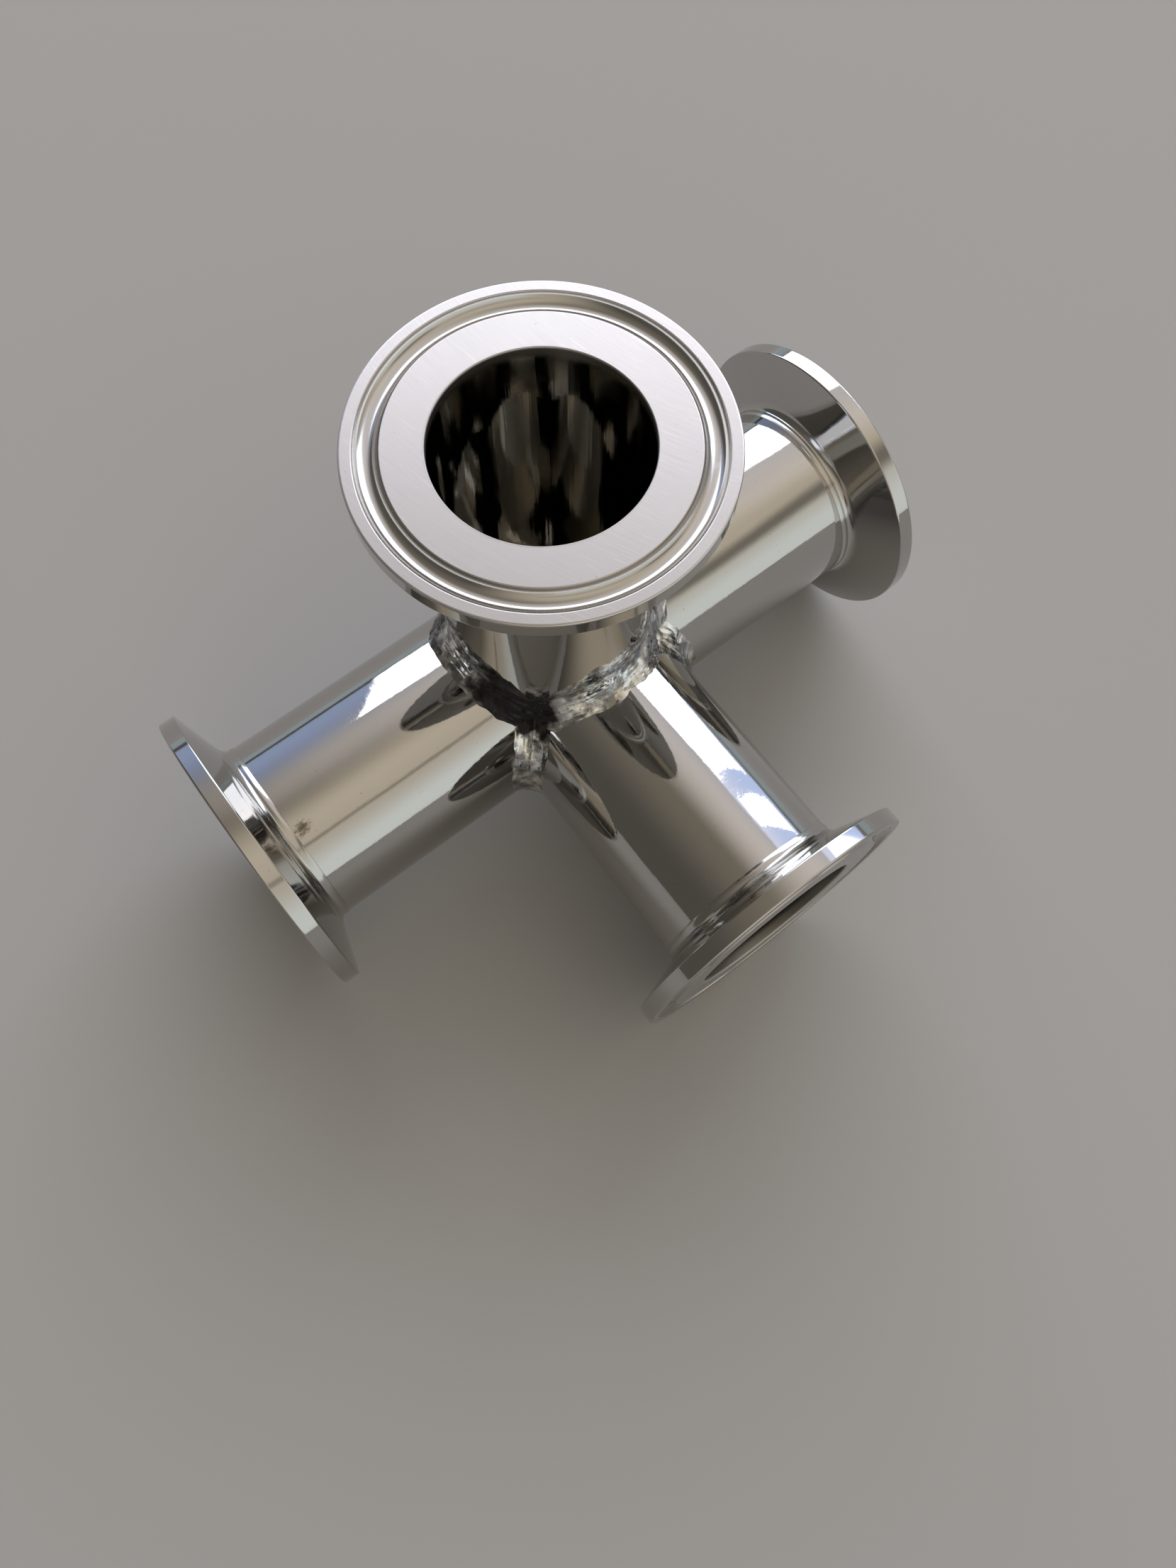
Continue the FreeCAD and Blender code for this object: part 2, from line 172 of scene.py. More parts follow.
class FittingSizes(bpy.types.PropertyGroup):
    """Sizes of the fitting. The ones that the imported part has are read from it."""

    tube_radius: FloatProperty(
        name="Tube radius", description="Outside radius of all three tubes",
        default=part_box("branch_tube")[1].x, unit="LENGTH", precision=5)
    bore_radius: FloatProperty(
        name="Bore radius", description="Inside radius of tubes and ferrules",
        default=mount_radius("run_bore"), unit="LENGTH", precision=5)
    tube_reach: FloatProperty(
        name="Tube reach", description="From the hub centre to a tube's end",
        default=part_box("riser_tube")[1].z, unit="LENGTH", precision=5)
    port_reach: FloatProperty(
        name="Port reach", description="From the hub centre to a sealing face",
        default=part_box("top_ferrule")[1].z, unit="LENGTH", precision=5)
    rim_radius: FloatProperty(
        name="Rim radius", description="Outside radius of a ferrule",
        default=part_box("top_ferrule")[1].x, unit="LENGTH", precision=5)
    rim_thickness: FloatProperty(
        name="Rim thickness", description="Width of a ferrule's plain rim",
        default=2.7 * MM, unit="LENGTH", precision=5)
    back_angle: FloatProperty(
        name="Back angle", description="Slope of the cone behind the rim",
        default=math.radians(17), subtype="ANGLE")
    foot_radius: FloatProperty(
        name="Foot radius", description="Blend from the cone into the neck",
        default=1.9 * MM, unit="LENGTH", precision=5)
    edge_radius: FloatProperty(
        name="Rim edge radius", description="Rounding of the rim's two edges",
        default=0.3 * MM, unit="LENGTH", precision=5)
    lip_radius: FloatProperty(
        name="Bore lip radius", description="Rounding where the bore meets the face",
        default=0.25 * MM, unit="LENGTH", precision=5)
    groove_radius: FloatProperty(
        name="Groove centre radius", description="Middle of the gasket groove",
        default=21.875 * MM, unit="LENGTH", precision=5)
    groove_width: FloatProperty(
        name="Groove width", description="Width of the gasket groove at the face",
        default=3.35 * MM, unit="LENGTH", precision=5)
    groove_depth: FloatProperty(
        name="Groove depth", description="Depth of the gasket groove",
        default=1.4 * MM, unit="LENGTH", precision=5)
    groove_edge: FloatProperty(
        name="Groove edge radius", description="Broken edge of the gasket groove",
        default=0.14 * MM, unit="LENGTH", precision=5)
    ring_half_width: FloatProperty(
        name="Ring weld half width", description="From a ring weld's crown to its edge",
        default=0.75 * MM, unit="LENGTH", precision=5)
    ring_run_out: FloatProperty(
        name="Ring weld run-out", description="From a ring weld's crown into the cove",
        default=1.3 * MM, unit="LENGTH", precision=5)
    ring_height: FloatProperty(
        name="Ring weld height", description="Height of a ferrule's weld above the tube",
        default=0.20 * MM, unit="LENGTH", precision=5)
    bead_leg: FloatProperty(
        name="Hub weld leg", description="From a hub seam to the edge of its bead",
        default=3.3 * MM, unit="LENGTH", precision=5)
    bead_crown: FloatProperty(
        name="Hub weld crown", description="Height that a hub bead adds to its fill",
        default=0.22 * MM, unit="LENGTH", precision=5)
    facets: IntProperty(
        name="Facets", description="Faces round a tube or a ferrule, a multiple of 8",
        default=384, min=64, max=720)


class FittingLooks(bpy.types.PropertyGroup):
    """Colours of the fitting and its stage, and how bright the windows are."""

    steel: FloatVectorProperty(
        name="Steel", description="Colour of the polished steel",
        default=(0.52, 0.51, 0.495), subtype="COLOR", min=0, max=1)
    satin: FloatVectorProperty(
        name="Satin steel", description="Colour of the lapped sealing faces",
        default=(0.52, 0.505, 0.515), subtype="COLOR", min=0, max=1)
    bore: FloatVectorProperty(
        name="Bore steel", description="Colour of the duller steel inside the tubes",
        default=(0.47, 0.455, 0.425), subtype="COLOR", min=0, max=1)
    weld: FloatVectorProperty(
        name="Weld steel", description="Colour of the hub welds",
        default=(0.22, 0.22, 0.22), subtype="COLOR", min=0, max=1)
    heat_tint: FloatVectorProperty(
        name="Heat tint", description="Faint colour that welding leaves on the steel",
        default=(0.50, 0.57, 0.66), subtype="COLOR", min=0, max=1)
    floor: FloatVectorProperty(
        name="Floor", description="Colour of the plain floor",
        default=(0.43, 0.425, 0.42), subtype="COLOR", min=0, max=1)
    room_light: FloatVectorProperty(
        name="Front of the room", description="Light from the wall and ceiling in front",
        default=(0.66, 0.585, 0.47), subtype="COLOR", min=0, max=1)
    room_dark: FloatVectorProperty(
        name="Dark side of the room", description="Light from the wall away from the windows",
        default=(0.12, 0.11, 0.095), subtype="COLOR", min=0, max=1)
    front_light: FloatVectorProperty(
        name="Front wall", description="Extra light from low down on the pale front wall",
        default=(0.28, 0.40, 0.48), subtype="COLOR", min=0, max=1)
    ceiling_glow: FloatVectorProperty(
        name="Ceiling glow", description="Light from the ceiling above the windows",
        default=(0.72, 0.68, 0.68), subtype="COLOR", min=0, max=1)
    ceiling: FloatVectorProperty(
        name="Ceiling", description="Extra light from straight above",
        default=(0.14, 0.12, 0.09), subtype="COLOR", min=0, max=1)
    curtain: FloatVectorProperty(
        name="Curtain", description="Cool light beside and between the windows",
        default=(0.42, 0.51, 0.76), subtype="COLOR", min=0, max=1)
    sill: FloatVectorProperty(
        name="Sill", description="Light from the sill below the windows",
        default=(0.40, 0.48, 0.52), subtype="COLOR", min=0, max=1)
    window_light: FloatProperty(
        name="Window light", description="Brightness of the soft window panels",
        default=2.3, min=0)


# Mesh helpers

def add_piece(name, points, faces, material, turn=None, sharp=SHARP_EDGE):
    """A smooth shaded mesh object. Edges sharper than the angle in degrees stay hard."""
    mesh = bpy.data.meshes.new(name)
    mesh.from_pydata([tuple(point) for point in points], [], faces)
    mesh.materials.append(material)
    mesh.polygons.foreach_set("use_smooth", [True] * len(mesh.polygons))
    mesh.set_sharp_from_angle(angle=math.radians(sharp))
    mesh.update()
    mesh.validate()
    piece = bpy.data.objects.new(name, mesh)
    bpy.context.scene.collection.objects.link(piece)
    if turn is not None:
        piece.matrix_world = turn
    return piece


def grid_faces(rows, columns, closed_rows=False, closed_columns=False, start=0):
    """Four-sided faces over points laid out row after row."""
    faces = []
    for row in range(rows if closed_rows else rows - 1):
        above = (row + 1) % rows
        for column in range(columns if closed_columns else columns - 1):
            beside = (column + 1) % columns
            faces.append((start + row * columns + column, start + row * columns + beside,
                          start + above * columns + beside, start + above * columns + column))
    return faces


def rounded_outline(corners, support):
    """Points along a closed outline. Each corner is (radius, height, rounding,
    steps), and straight runs get a point near each end to keep them flat."""
    count = len(corners)
    points = []
    for index, (x, y, rounding, steps) in enumerate(corners):
        here = np.array((x, y))
        before = np.array(corners[index - 1][:2]) - here
        after = np.array(corners[(index + 1) % count][:2]) - here
        before_length = np.linalg.norm(before)
        after_length = np.linalg.norm(after)
        before /= before_length
        after /= after_length
        if rounding == 0:
            points.append(here)
            continue
        half = math.acos(max(-1.0, min(1.0, float(before @ after)))) / 2
        setback = rounding / math.tan(half)
        centre = here + (before + after) / np.linalg.norm(before + after) * rounding / math.sin(half)
        first = here + before * setback
        last = here + after * setback
        if before_length > setback + 3 * support:
            points.append(first + before * support)
        sweep = math.pi - 2 * half
        start_arm = first - centre
        end_arm = last - centre
        for step in range(steps + 1):
            share = step / steps
            arm = (start_arm * math.sin((1 - share) * sweep) + end_arm * math.sin(share * sweep))
            points.append(centre + arm / math.sin(sweep))
        if after_length > setback + 3 * support:
            points.append(last + after * support)
    return points


def lathe(outline, facets):
    """Points and faces of a closed outline of (radius, height) turned once."""
    outline = np.array(outline)
    angles = np.arange(facets) * 2 * math.pi / facets
    points = np.zeros((facets, len(outline), 3))
    points[:, :, 0] = np.cos(angles)[:, None] * outline[None, :, 0]
    points[:, :, 1] = np.sin(angles)[:, None] * outline[None, :, 0]
    points[:, :, 2] = outline[None, :, 1]
    faces = grid_faces(facets, len(outline), closed_rows=True, closed_columns=True)
    return points.reshape(-1, 3), faces


def ride_for(piece, node):
    """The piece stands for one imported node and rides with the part."""
    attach(piece, "root")
    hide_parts(node)


# Shader helpers

class Signal:
    """A shader socket that takes part in sums, products and powers."""

    def __init__(self, nodes, socket):
        self.nodes = nodes
        self.socket = socket

    def math(self, operation, other=None):
        """The signal worked out with a number or another signal."""
        made = self.nodes.add("Math", {"operation": operation}, [self, other])
        return made.out()

    def __add__(self, other):
        return self.math("ADD", other)

    def __radd__(self, other):
        return self.math("ADD", other)

    def __sub__(self, other):
        return self.math("SUBTRACT", other)

    def __rsub__(self, other):
        return (self * -1) + other

    def __mul__(self, other):
        return self.math("MULTIPLY", other)

    def __rmul__(self, other):
        return self.math("MULTIPLY", other)

    def __pow__(self, other):
        return self.math("POWER", other)

    def ramp(self, low, high):
        """Runs smoothly from 0 to 1 as the signal goes from low to high, which may be
        the smaller of the two."""
        made = self.nodes.add("MapRange", {"interpolation_type": "SMOOTHSTEP"},
                              {"Value": self, "From Min": low, "From Max": high})
        return made.out("Result")


class Made:
    """A node with a short way to its outputs."""

    def __init__(self, nodes, node):
        self.nodes = nodes
        self.node = node

    def out(self, name=0):
        """One of the node's outputs, the first unless another is named."""
        return Signal(self.nodes, self.node.outputs[name])


class Nodes:
    """Adds nodes to one material's or world's tree."""

    def __init__(self, tree):
        self.tree = tree
        self.tree.nodes.clear()

    def add(self, kind, settings=None, sockets=None):
        """A shader node with its settings made first and its sockets set or linked."""
        node = self.tree.nodes.new("ShaderNode" + kind)
        for key, value in (settings or {}).items():
            setattr(node, key, value)
        pairs = sockets.items() if isinstance(sockets, dict) else enumerate(sockets or [])
        for key, value in pairs:
            if value is None:
                continue
            if isinstance(value, Signal):
                self.tree.links.new(value.socket, node.inputs[key])
            else:
                node.inputs[key].default_value = value
        return Made(self, node)

    def mix(self, share, first, second, blend="MIX"):
        """A blend of two colours. Its sockets go by their place, because those for
        colours and for plain numbers share their names."""
        made = self.add("Mix", {"data_type": "RGBA", "blend_type": blend},
                        {0: share, 6: first, 7: second})
        return made.out(2)

    def distance(self, place, middle):
        """How far the coordinates are from a place."""
        return self.add("VectorMath", {"operation": "DISTANCE"}, [place, middle]).out("Value")

    def turn(self, y, x):
        """The angle of a direction, from x towards y."""
        return self.add("Math", {"operation": "ARCTAN2"}, [y, x]).out()

    def facing(self, place, towards):
        """How far the coordinates point in a direction."""
        made = self.add("VectorMath", {"operation": "DOT_PRODUCT"}, [place, towards])
        return made.out("Value")

    def noise(self, place, scale, detail=2.0, roughness=0.5):
        """Soft random marks, scale of them to the metre."""
        made = self.add("TexNoise", {"noise_dimensions": "3D"},
                        {"Vector": place, "Scale": scale, "Detail": detail,
                         "Roughness": roughness})
        return made.out("Fac")

    def combed(self, place, x, y, z, detail=2.0, roughness=0.5):
        """Random marks with a different number to the metre along each axis."""
        return self.noise(self.stretch(place, x, y, z), 1.0, detail, roughness)

    def stretch(self, place, x, y, z):
        """Coordinates scaled by a different amount along each axis."""
        made = self.add("VectorMath", {"operation": "MULTIPLY"}, [place, (x, y, z)])
        return made.out("Vector")

    def shifted(self, place, seed):
        """Coordinates moved far enough that another seed gives other marks."""
        made = self.add("VectorMath", {"operation": "ADD"}, [place, (seed * SEED_STEP, 0.0, 0.0)])
        return made.out("Vector")

    def joined(self, x, y, z):
        """Three numbers as one set of coordinates."""
        return self.add("CombineXYZ", {}, [x, y, z]).out("Vector")

    def split(self, place):
        """Coordinates as three numbers."""
        made = self.add("SeparateXYZ", {}, [place])
        return made.out("X"), made.out("Y"), made.out("Z")

    def bump(self, height, distance, normal=None):
        """A surface direction tilted by a height, on top of another one."""
        made = self.add("Bump", {}, {"Height": height, "Distance": distance,
                                     "Strength": 1.0, "Normal": normal})
        return made.out("Normal")

    def metal(self, colour, roughness, normal, bare=1.0):
        """A metal surface that ends the tree, as bare of oxide and dirt as given."""
        shader = self.add("BsdfPrincipled", {}, {
            "Base Color": colour, "Metallic": bare, "Roughness": roughness, "Normal": normal,
            "Specular IOR Level": GLOSS})
        self.add("OutputMaterial", {}, {"Surface": shader.out("BSDF")})


def opaque(colour):
    """A colour property with its full alpha."""
    return (colour[0], colour[1], colour[2], 1.0)


def new_material(name):
    """An empty material and the helper that fills it."""
    material = bpy.data.materials.get(name) or bpy.data.materials.new(name)
    material.use_nodes = True
    return material, Nodes(material.node_tree)


# Finishes, with their marks counted to the metre

def drawn_lines(nodes, spot):
    """Long lines that drawing the tube leaves along a bore."""
    return nodes.combed(spot, 900.0, 900.0, 14.0, 3.0)


def tube_polish(looks, sizes, seed, scuff=None):
    """Mirror polish on tube: faint lines along the tube, hairlines and a slight
    waver from the polishing wheel, a few smudges, and a duller drawn bore. A
    dark scuff lies at a place on the skin, where one is given."""
    material, nodes = new_material(f"tube_polish_{seed}")
    place = nodes.add("TexCoord").out("Object")
    x, y, _ = nodes.split(place)
    radius = (x * x + y * y) ** 0.5
    bore = radius.ramp(sizes.bore_radius + 1.0 * MM, sizes.bore_radius + 0.5 * MM)
    skin = 1.0 - bore
    spot = nodes.shifted(place, seed)
    waver = nodes.noise(spot, 70.0, 1.0)
    peel = nodes.combed(spot, 1100.0, 1100.0, 700.0, 2.0, 0.6)
    lines = nodes.combed(spot, 5200.0, 5200.0, 130.0, 3.0, 0.6)
    drawn = drawn_lines(nodes, spot)
    hairs = nodes.combed(spot, 420.0, 420.0, 9000.0).ramp(0.66, 0.74)
    smudges = nodes.noise(spot, 260.0, 5.0, 0.62).ramp(0.60, 0.74) * skin
    specks = nodes.noise(spot, 1900.0, 2.0).ramp(0.735, 0.765) * skin
    colour = nodes.mix(smudges * 0.35, opaque(looks.steel), SMUDGED_TUBE)
    colour = nodes.mix(bore, colour, opaque(looks.bore))
    colour = nodes.mix(specks * 0.5, colour, TUBE_SPECK)
    roughness = 0.02 + lines * 0.02 + hairs * skin * 0.08 + smudges * 0.05 + bore * 0.02
    roughness = roughness + specks * 0.2
    if scuff is not None:
        away = nodes.distance(nodes.stretch(place, 1.0, 1.0, SCUFF_SQUASH),
                              (scuff[0], scuff[1], scuff[2] * SCUFF_SQUASH))
        grit = nodes.combed(place, 1500.0, 1500.0, 900.0, 2.0, 0.6)
        mark = (grit * 0.6 + 0.15 - away * 260.0).ramp(0.12, 0.42)
        colour = nodes.mix(mark * 0.9, colour, SCUFFED)
        roughness = roughness + mark * 0.15
    normal = nodes.bump(waver * skin, WAVER_DEPTH)
    normal = nodes.bump(drawn * bore, DRAWN_DEPTH, normal)
    normal = nodes.bump(peel, PEEL_DEPTH, normal)
    normal = nodes.bump(lines, LINE_DEPTH, normal)
    nodes.metal(colour, roughness, normal)
    return material


def ferrule_polish(looks, sizes, seed):
    """Turned and polished ferrule: fine rings round the axis, a lapped satin
    face with long arcs of scratches, and a softly broken lip at the bore."""
    material, nodes = new_material(f"ferrule_polish_{seed}")
    reach = sizes.port_reach
    bore_radius = sizes.bore_radius
    place = nodes.add("TexCoord").out("Object")
    x, y, z = nodes.split(place)
    radius = (x * x + y * y) ** 0.5
    spot = nodes.shifted(place, seed)
    rings = nodes.noise(nodes.joined(radius * 9000.0, z * 9000.0, seed), 1.0, 2.0)
    waver = nodes.noise(spot, 90.0, 1.0)
    specks = nodes.noise(spot, 2100.0, 2.0).ramp(0.75, 0.78)
    on_face = z.ramp(reach - 0.07 * MM, reach - 0.02 * MM)
    off_bore = radius.ramp(bore_radius + 0.1 * MM, bore_radius + 0.3 * MM)
    satin = on_face * off_bore
    neck = radius.ramp(sizes.tube_radius + 4.0 * MM, sizes.tube_radius + 0.5 * MM) * z.ramp(
        reach - 1.0 * MM, reach - 2.0 * MM) * off_bore
    smudges = nodes.noise(spot, 320.0, 5.0, 0.62).ramp(0.60, 0.76) * (1.0 - neck)
    mouth = z.ramp(reach - 2.6 * MM, reach - 0.8 * MM)
    drawn = drawn_lines(nodes, spot)
    bore = radius.ramp(bore_radius + 0.3 * MM, bore_radius + 0.1 * MM)
    lip = radius.ramp(bore_radius + 0.4 * MM, bore_radius + 0.2 * MM) * z.ramp(
        reach - 0.5 * MM, reach - 0.2 * MM)
    groove = z.ramp(reach - 2.2 * MM, reach - 1.8 * MM) * radius.ramp(
        sizes.rim_radius - 0.5 * MM, sizes.rim_radius - 1.0 * MM) * off_bore
    arc_x = x - SCRATCH_CENTRE[0]
    arc_y = y - SCRATCH_CENTRE[1]
    arc_radius = (arc_x * arc_x + arc_y * arc_y) ** 0.5
    arc_turn = nodes.turn(arc_y, arc_x * -1)
    scratches = nodes.noise(
        nodes.joined(arc_radius * 4200.0, arc_turn * 8.0, seed), 1.0, 3.0, 0.8)
    long_marks = nodes.noise(
        nodes.joined(arc_radius * 3600.0, arc_turn * 12.0, seed + 3.0), 1.0, 1.0).ramp(0.66, 0.74)
    clouds = nodes.noise(spot, 160.0, 3.0)
    satin_colour = nodes.mix(scratches.ramp(0.30, 0.70), opaque(looks.satin),
                             SCRATCHED_SATIN)
    satin_colour = nodes.mix(long_marks * 0.3, satin_colour, MARKED_SATIN)
    bright_colour = nodes.mix(smudges * 0.3, opaque(looks.steel), SMUDGED_FERRULE)
    colour = nodes.mix(satin, bright_colour, satin_colour)
    colour = nodes.mix(bore * (1.0 - lip), colour, opaque(looks.bore))
    colour = nodes.mix(specks * 0.5, colour, FERRULE_SPECK)
    bright_roughness = 0.045 + rings * 0.02 + smudges * 0.10 + neck * 0.08
    bright_roughness = bright_roughness + bore * (0.03 + mouth * 0.25)
    bright_roughness = bright_roughness + groove * 0.10
    satin_roughness = 0.25 + scratches * 0.10 + clouds * 0.05
    roughness = bright_roughness * (1.0 - satin) + satin_roughness * satin
    roughness = roughness + specks * 0.2 + lip * 0.20
    normal = nodes.bump(waver * (1.0 - satin), WAVER_DEPTH)
    normal = nodes.bump(drawn * bore, DRAWN_DEPTH, normal)
    normal = nodes.bump(rings * (1.0 - satin), RING_DEPTH, normal)
    normal = nodes.bump(scratches * satin, SCRATCH_DEPTH, normal)
    nodes.metal(colour, roughness, normal)
    return material


def weld_polish(looks, name, shade_patches):
    """Hub weld: ground bright but left uneven, with strokes along the seam, dark pits and a faint
    heat tint. Painted shade makes it near black round the given places, standing in for the dark the
    weld mirrors there; each has a middle, a reach and how far it fades."""
    material, nodes = new_material(name)
    place = nodes.add("TexCoord").out("Object")
    x, y, z = nodes.split(place)
    radius = (x * x + y * y) ** 0.5
    turn = nodes.turn(y, x)
    sides = x.math("ABSOLUTE").math("MAXIMUM", y * -1)
    across = z - sides
    strokes = nodes.noise(
        nodes.joined(turn * 9.0, across * 1600.0, radius * 900.0), 1.0, 2.0, 0.5)
    lumps = nodes.noise(place, 420.0, 2.0, 0.5)
    pits = nodes.noise(place, 1300.0, 2.0, 0.6).ramp(0.64, 0.70)
    ragged = lumps * (6.0 * MM) - 3.0 * MM
    # Painted shade: near-black patches round the given places, standing in for the dark the weld
    # mirrors there. They also make the steel almost non-metallic
    painted_shade = None
    for middle, reach, fade in shade_patches:
        patch = (nodes.distance(place, middle) + ragged).ramp(reach + fade, reach)
        painted_shade = patch if painted_shade is None else painted_shade.math("MAXIMUM", patch)
    tint = nodes.noise(place, 150.0, 2.0).ramp(0.45, 0.65)
    colour = nodes.mix(lumps.ramp(0.38, 0.60), opaque(looks.weld), WELD_RIDGE)
    colour = nodes.mix(tint * 0.25, colour, opaque(looks.heat_tint))
    # Painted shade laid over the weld's colour
    colour = nodes.mix(painted_shade, colour, PAINTED_SHADE_BLACK)
    colour = nodes.mix(pits * 0.7, colour, WELD_PIT)
    roughness = 0.05 + lumps * 0.08 + pits * 0.15 + painted_shade * 0.06
    normal = nodes.bump(lumps, LUMP_DEPTH)
    normal = nodes.bump(strokes, STROKE_DEPTH, normal)
    nodes.metal(colour, roughness, normal, 1.0 - painted_shade * 0.95)
    return material


def floor_finish(looks):
    """A plain matt floor."""
    material, nodes = new_material("plain_floor")
    shader = nodes.add("BsdfPrincipled", {}, {
        "Base Color": opaque(looks.floor), "Roughness": 0.9, "Specular IOR Level": GLOSS})
    nodes.add("OutputMaterial", {}, {"Surface": shader.out("BSDF")})
    return material


# Tubes

def hub_start(kind, x, y):
    """How far from the hub centre a tube starts at the given place on its skin,
    in the tube's own directions: a 45 degree mitre towards each neighbour."""
    zero = np.zeros_like(x)
    if kind == "riser":
        return np.maximum(np.abs(x), -y)
    if kind == "branch":
        return np.maximum(np.abs(x), y)
    return np.maximum(np.maximum(zero, y), -x)


def tube_rings(kind, sizes, both_ways):
    """The tube as loops of points, one loop at each angle, from the hub along
    the outside, across the end and back along the bore. Points lie closer
    together near its two ends. A tube that goes both ways from the hub has no
    end faces where its halves meet."""
    angles = np.arange(sizes.facets) * 2 * math.pi / sizes.facets
    middle = np.linspace(0.1, 0.9, 9)
    along = np.concatenate(([0.0, 0.02], middle, [0.985, 1.0]))
    loops = []
    for radius, shares in ((sizes.tube_radius, along), (sizes.bore_radius, along[::-1])):
        x = radius * np.cos(angles)
        y = radius * np.sin(angles)
        start = hub_start(kind, x, y)
        z = start[:, None] + (sizes.tube_reach - start)[:, None] * shares[None, :]
        ring = np.zeros((len(angles), len(shares), 3))
        ring[:, :, 0] = x[:, None]
        ring[:, :, 1] = y[:, None]
        ring[:, :, 2] = z
        loops.append(ring)
    ring = np.concatenate(loops, axis=1)
    columns = ring.shape[1]
    points = ring.reshape(-1, 3)
    faces = []
    for face in grid_faces(sizes.facets, columns, closed_rows=True, closed_columns=True):
        at_hub = all(index % columns in (0, columns - 1) for index in face)
        if both_ways and at_hub and max(points[index][2] for index in face) < TOUCHING:
            continue
        faces.append(face)
    return points, faces


def weld_halves(piece):
    """Joins the run's two halves where they meet at the hub."""
    mesh = bmesh.new()
    mesh.from_mesh(piece.data)
    bmesh.ops.remove_doubles(mesh, verts=mesh.verts, dist=TOUCHING)
    mesh.to_mesh(piece.data)
    mesh.free()
    piece.data.set_sharp_from_angle(angle=math.radians(SHARP_EDGE))


class FITTING_OT_tubes(bpy.types.Operator):
    """Build the run, the branch and the riser with their mitred hub ends"""

    bl_idname = "fitting.tubes"
    bl_label = "Tubes"

    def execute(self, context):
        sizes = context.scene.fitting_sizes
        looks = context.scene.fitting_looks
        for seed, kind, port in ((1, "riser", "top"), (2, "branch", "front")):
            points, faces = tube_rings(kind, sizes, False)
            polish = tube_polish(looks, sizes, seed)
            piece = add_piece(f"{kind}_tube_skin", points, faces, polish, TURNS[port])
            ride_for(piece, kind + "_tube")
        points, faces = tube_rings("run", sizes, True)
        mirrored = points * np.array((1, 1, -1))
        both = np.concatenate((points, mirrored))
        shifted = [tuple(len(points) + index for index in reversed(face)) for face in faces]
        polish = tube_polish(looks, sizes, 3, SCUFF_PLACE)
        run = add_piece("run_tube_skin", both, faces + shifted, polish, TURNS["right"])
        weld_halves(run)
        ride_for(run, "run_tube")
        return {"FINISHED"}


# Ferrules

def cone_foot(sizes):
    """Where the cone behind the rim would meet the tube's skin, if it had no cove."""
    rise = (sizes.rim_radius - sizes.tube_radius) * math.tan(sizes.back_angle)
    return sizes.port_reach - sizes.rim_thickness - rise


def ferrule_outline(sizes):
    """The ferrule's section from its bore round the face, rim, cone and neck.
    The gasket groove is an arc between its two broken edges."""
    reach = sizes.port_reach
    back = reach - sizes.rim_thickness
    foot = cone_foot(sizes)
    half = sizes.groove_width / 2
    arc_radius = (half ** 2 + sizes.groove_depth ** 2) / (2 * sizes.groove_depth)
    arc_centre = reach - sizes.groove_depth + arc_radius
    spread = math.asin(half / arc_radius)
    corners = [
        (sizes.bore_radius, sizes.tube_reach, 0, 0),
        (sizes.bore_radius, reach, sizes.lip_radius, 5),
        (sizes.groove_radius - half, reach, sizes.groove_edge, 4),
    ]
    groove_steps = 22
    for step in range(1, groove_steps):
        angle = -spread + 2 * spread * step / groove_steps
        corners.append((sizes.groove_radius + arc_radius * math.sin(angle),
                        arc_centre - arc_radius * math.cos(angle), 0, 0))
    corners += [
        (sizes.groove_radius + half, reach, sizes.groove_edge, 4),
        (sizes.rim_radius, reach, sizes.edge_radius, 6),
        (sizes.rim_radius, back, sizes.edge_radius, 6),
        (sizes.tube_radius, foot, sizes.foot_radius, 8),
        (sizes.tube_radius, sizes.tube_reach, 0, 0),
    ]
    support = 0.05 * MM
    return rounded_outline(corners, support)


class FITTING_OT_ferrules(bpy.types.Operator):
    """Turn the four clamp ferrules"""

    bl_idname = "fitting.ferrules"
    bl_label = "Ferrules"

    def execute(self, context):
        sizes = context.scene.fitting_sizes
        points, faces = lathe(ferrule_outline(sizes), sizes.facets)
        for seed, (port, turn) in enumerate(TURNS.items(), start=1):
            polish = ferrule_polish(context.scene.fitting_looks, sizes, seed)
            piece = add_piece(f"{port}_ferrule_skin", points, faces, polish, turn)
            ride_for(piece, f"{port}_ferrule")
        return {"FINISHED"}


# Ring welds

def smooth_max(first, second, width):
    """The larger of two, rounded where they are nearly equal."""
    overlap = np.maximum(width - np.abs(first - second), 0.0) / width
    return np.maximum(first, second) + overlap * overlap * width / 4


def ring_outline(sizes):
    """The section of a ring weld: a low crown with a clear edge on the tube, which
    runs out smoothly into the cove of the ferrule. Its seat lies in the tube."""
    past_joint = 0.15 * MM
    blend = 0.15 * MM
    proud = 0.01 * MM
    dip = 0.03 * MM
    seat = 0.3 * MM
    crown = sizes.tube_reach + past_joint
    cove_start = cone_foot(sizes) - sizes.foot_radius * math.tan(
        (math.pi / 2 - sizes.back_angle) / 2)
    places = np.linspace(crown + sizes.ring_run_out, crown - sizes.ring_half_width, 40)
    ahead = np.clip((places - crown) / sizes.ring_run_out, 0, 1)
    behind = np.clip((crown - places) / sizes.ring_half_width, 0, 1)
    bead = sizes.ring_height * np.where(places > crown, 0.5 + 0.5 * np.cos(math.pi * ahead),
                                        1 - behind ** 2)
    into = np.maximum(places - cove_start, 0)
    cove = sizes.foot_radius - np.sqrt(sizes.foot_radius ** 2 - into ** 2)
    rise = smooth_max(bead, cove, blend) + proud - dip * ahead ** 6
    rise[-1] = -proud
    crest = list(zip(sizes.tube_radius + rise, places))
    sunk = sizes.tube_radius - seat
    return [(sunk, places[0]), *crest, (sunk, places[-1])]


